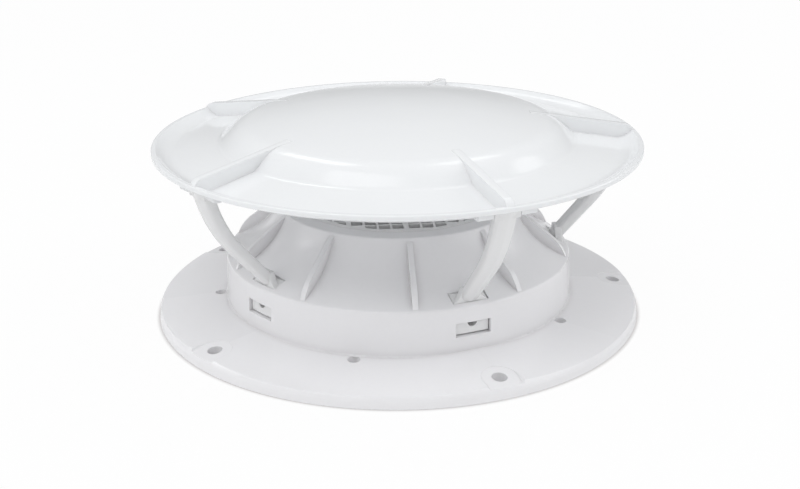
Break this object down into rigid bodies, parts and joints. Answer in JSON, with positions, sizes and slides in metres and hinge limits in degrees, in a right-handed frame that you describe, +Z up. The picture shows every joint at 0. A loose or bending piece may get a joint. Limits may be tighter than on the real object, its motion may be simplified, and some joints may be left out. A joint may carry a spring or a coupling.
{
  "type": "roof vent cap",
  "caption": "Round flanged roof vent with a finned bell, screened throat and a dished cap held above it on curved legs with snap latches.",
  "frame": {"origin": "centre of the flange's underside, on the roof surface", "axes": "+Z up, away from the roof; -Y is the front, towards the camera of the picture"},
  "size_m": [0.197, 0.197, 0.084],
  "materials": {
    "shell_white": "glossy moulded white, faint moulding waviness",
    "cap_white": "glossy moulded white, polished top",
    "leg_white": "glossy moulded white",
    "screen_white": "satin moulded white"
  },
  "bodies": {
    "root": {"base": "shell_white", "screen": "screen_white", "cap": "cap_white", "leg_1": "leg_white", "leg_2": "leg_white", "leg_3": "leg_white", "leg_4": "leg_white", "leg_5": "leg_white"},
    "latch_body_1": {"latch_1": "leg_white"},
    "latch_body_2": {"latch_2": "leg_white"},
    "latch_body_3": {"latch_3": "leg_white"},
    "latch_body_4": {"latch_4": "leg_white"},
    "latch_body_5": {"latch_5": "leg_white"}
  },
  "joints": [
    {"name": "latch_flex_1", "type": "hinge", "parent": "root", "child": "latch_body_1", "pos_m": [0.02624, -0.06121, 0.0096], "axis": [-0.9191, -0.3939, 0], "range_deg": [0, 8], "stiffness_Nm_per_rad": 0.2},
    {"name": "latch_flex_2", "type": "hinge", "parent": "root", "child": "latch_body_2", "pos_m": [0.06633, 0.00604, 0.0096], "axis": [0.0906, -0.9959, 0], "range_deg": [0, 8], "stiffness_Nm_per_rad": 0.2},
    {"name": "latch_flex_3", "type": "hinge", "parent": "root", "child": "latch_body_3", "pos_m": [0.01476, 0.06495, 0.0096], "axis": [0.9751, -0.2215, 0], "range_deg": [0, 8], "stiffness_Nm_per_rad": 0.2},
    {"name": "latch_flex_4", "type": "hinge", "parent": "root", "child": "latch_body_4", "pos_m": [-0.05721, 0.0341, 0.0096], "axis": [0.512, 0.859, 0], "range_deg": [0, 8], "stiffness_Nm_per_rad": 0.2},
    {"name": "latch_flex_5", "type": "hinge", "parent": "root", "child": "latch_body_5", "pos_m": [-0.05011, -0.04387, 0.0096], "axis": [-0.6587, 0.7524, 0], "range_deg": [0, 8], "stiffness_Nm_per_rad": 0.2}
  ]
}
